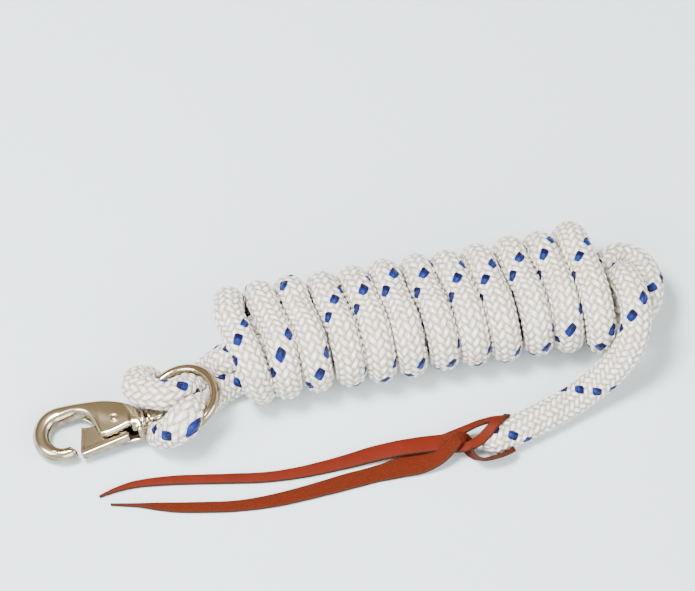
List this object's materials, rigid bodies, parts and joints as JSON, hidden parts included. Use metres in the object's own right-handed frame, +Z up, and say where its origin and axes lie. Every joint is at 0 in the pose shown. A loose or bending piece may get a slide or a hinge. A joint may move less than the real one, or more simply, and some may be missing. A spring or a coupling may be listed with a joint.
{
  "type": "lead rope",
  "caption": "Horse lead rope: a braided rope wound into a flat hank, hitched to the eye of a swivel bull snap, with a slit leather popper at its other end.",
  "frame": {"origin": "centre of the whole object's footprint, on the surface it lies on", "axes": "+X along the hank, away from the snap; +Y to the back, away from the leather popper; +Z up"},
  "size_m": [0.3284, 0.1167, 0.0479],
  "materials": {
    "rope_white": "glossy filament braid, white with one blue strand",
    "nickel_plate": "polished nickel plate on cast metal",
    "spring_steel": "bare spring wire",
    "popper_leather": "dyed harness leather, matt, flesh side rougher"
  },
  "bodies": {
    "lead": {"swivel_eye": "nickel_plate", "rope_wraps": "rope_white", "rope_core_runs": "rope_white", "rope_eye_hitch": "rope_white", "rope_tail": "rope_white", "leather_popper": "popper_leather"},
    "snap": {"snap_body": "nickel_plate", "gate_pin": "nickel_plate", "gate_spring": "spring_steel"},
    "gate": {"snap_gate": "nickel_plate"}
  },
  "joints": [
    {"name": "snap_swivel", "type": "hinge", "parent": "lead", "child": "snap", "pos_m": [-0.1078, -0.00205, 0.013], "axis": [0.9877, 0, 0.1564], "continuous": true},
    {"name": "gate_hinge", "type": "hinge", "parent": "snap", "child": "gate", "pos_m": [-0.12202, 0.00095, 0.01075], "axis": [0.1564, 0, -0.9877], "range_deg": [0, 25], "stiffness_Nm_per_rad": 0.05, "springref_deg": -34.38, "deforming": ["gate_spring"]}
  ]
}
